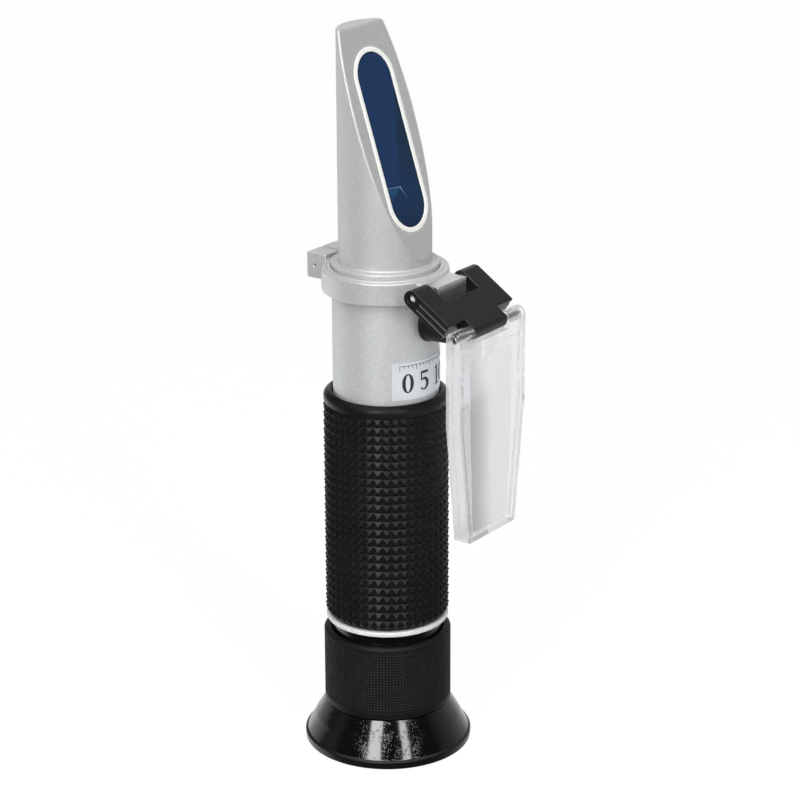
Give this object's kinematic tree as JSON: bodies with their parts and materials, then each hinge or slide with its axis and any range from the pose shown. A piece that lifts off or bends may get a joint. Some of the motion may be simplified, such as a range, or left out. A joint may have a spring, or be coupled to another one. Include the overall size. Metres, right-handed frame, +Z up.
{
  "type": "handheld refractometer",
  "caption": "Handheld tube refractometer with slanted prism face, hinged clear daylight plate, calibration screw, knurled rubber grip and focusing eyepiece with a flared eyecup.",
  "frame": {"origin": "centre of the bottom face of the bounding box at rest; the tube axis is parallel to +Z at y = +4.775 mm", "axes": "+Z up along the tube from the eyecup rim to the head, -Y the side the slanted prism face, hinge and calibration screw look towards, +X along the hinge pins"},
  "size_m": [0.038, 0.0476, 0.1649],
  "materials": {
    "satin_aluminium": "fine-grained satin silver",
    "tube_silver": "satin silver",
    "bright_metal": "bright",
    "steel": "ground",
    "brass": "turned",
    "black_rubber": "knurled, matte",
    "black_soft": "matte",
    "black_gloss": "glossy",
    "black_satin": "satin moulded",
    "black_inner": "matte",
    "optical_glass": "polished",
    "prism_glass": "polished, looks navy from outside",
    "clear_acrylic": "clear moulded acrylic with a frosted panel",
    "white_seal": "white moulded seal",
    "label_film": "silver film"
  },
  "bodies": {
    "housing": {"head_housing": "satin_aluminium", "main_prism": "prism_glass", "prism_seal_ring": "white_seal", "head_o_ring": "black_soft", "clamp_ring": "satin_aluminium", "clamp_screw": "steel", "upper_hinge_pin": "steel", "screw_bushing": "satin_aluminium", "calibration_cap": "black_soft", "carriage_spring": "steel", "mirror_tube": "tube_silver", "label": "label_film", "rubber_grip": "black_rubber", "tube_end_ring": "bright_metal", "reticle_holder": "black_inner", "reticle_disc": "optical_glass", "reticle_retainer": "black_inner", "eyepiece_neck": "black_gloss", "neck_o_ring": "black_soft", "focus_key_screw": "steel"},
    "link": {"hinge_link": "black_satin", "lower_hinge_pin": "steel"},
    "plate": {"daylight_plate": "clear_acrylic"},
    "calibration_screw_body": {"calibration_screw": "brass"},
    "carriage": {"optics_carriage": "black_inner", "objective_lens": "optical_glass", "bimetal_strip": "brass"},
    "lens_group": {"lens_cell": "black_inner", "eye_lens": "optical_glass", "lens_spacer": "black_inner", "field_lens": "optical_glass", "lens_retainer": "black_inner"},
    "focus": {"focus_ring": "black_satin", "eyecup": "black_gloss"}
  },
  "joints": [
    {"name": "link_hinge", "type": "hinge", "parent": "housing", "child": "link", "pos_m": [0, -0.01082, 0.11085], "axis": [-1, 0, 0], "range_deg": [0, 147]},
    {"name": "plate_hinge", "type": "hinge", "parent": "link", "child": "plate", "pos_m": [0, -0.02187, 0.1037], "axis": [-1, 0, 0], "range_deg": [-8, 51.4]},
    {"name": "calibration_turn", "type": "hinge", "parent": "housing", "child": "calibration_screw_body", "pos_m": [0, -0.006, 0.1025], "axis": [0, -1, 0], "range_deg": [-180, 180]},
    {"name": "carriage_slide", "type": "slide", "parent": "housing", "child": "carriage", "axis": [0, -1, 0], "range_m": [-0.00025, 0.00025]},
    {"name": "focus_travel", "type": "slide", "parent": "housing", "child": "lens_group", "axis": [0, 0, 1], "range_m": [-0.00168, 0.00168]},
    {"name": "focus_turn", "type": "hinge", "parent": "lens_group", "child": "focus", "pos_m": [0, 0.00477, 0.02], "axis": [0, 0, 1], "range_deg": [-150, 150]}
  ],
  "couplings": [
    {"joint": "calibration_turn", "follows": "carriage_slide", "rad_per_m": -12566},
    {"joint": "focus_travel", "follows": "focus_turn", "m_per_rad": 0.00063662}
  ]
}
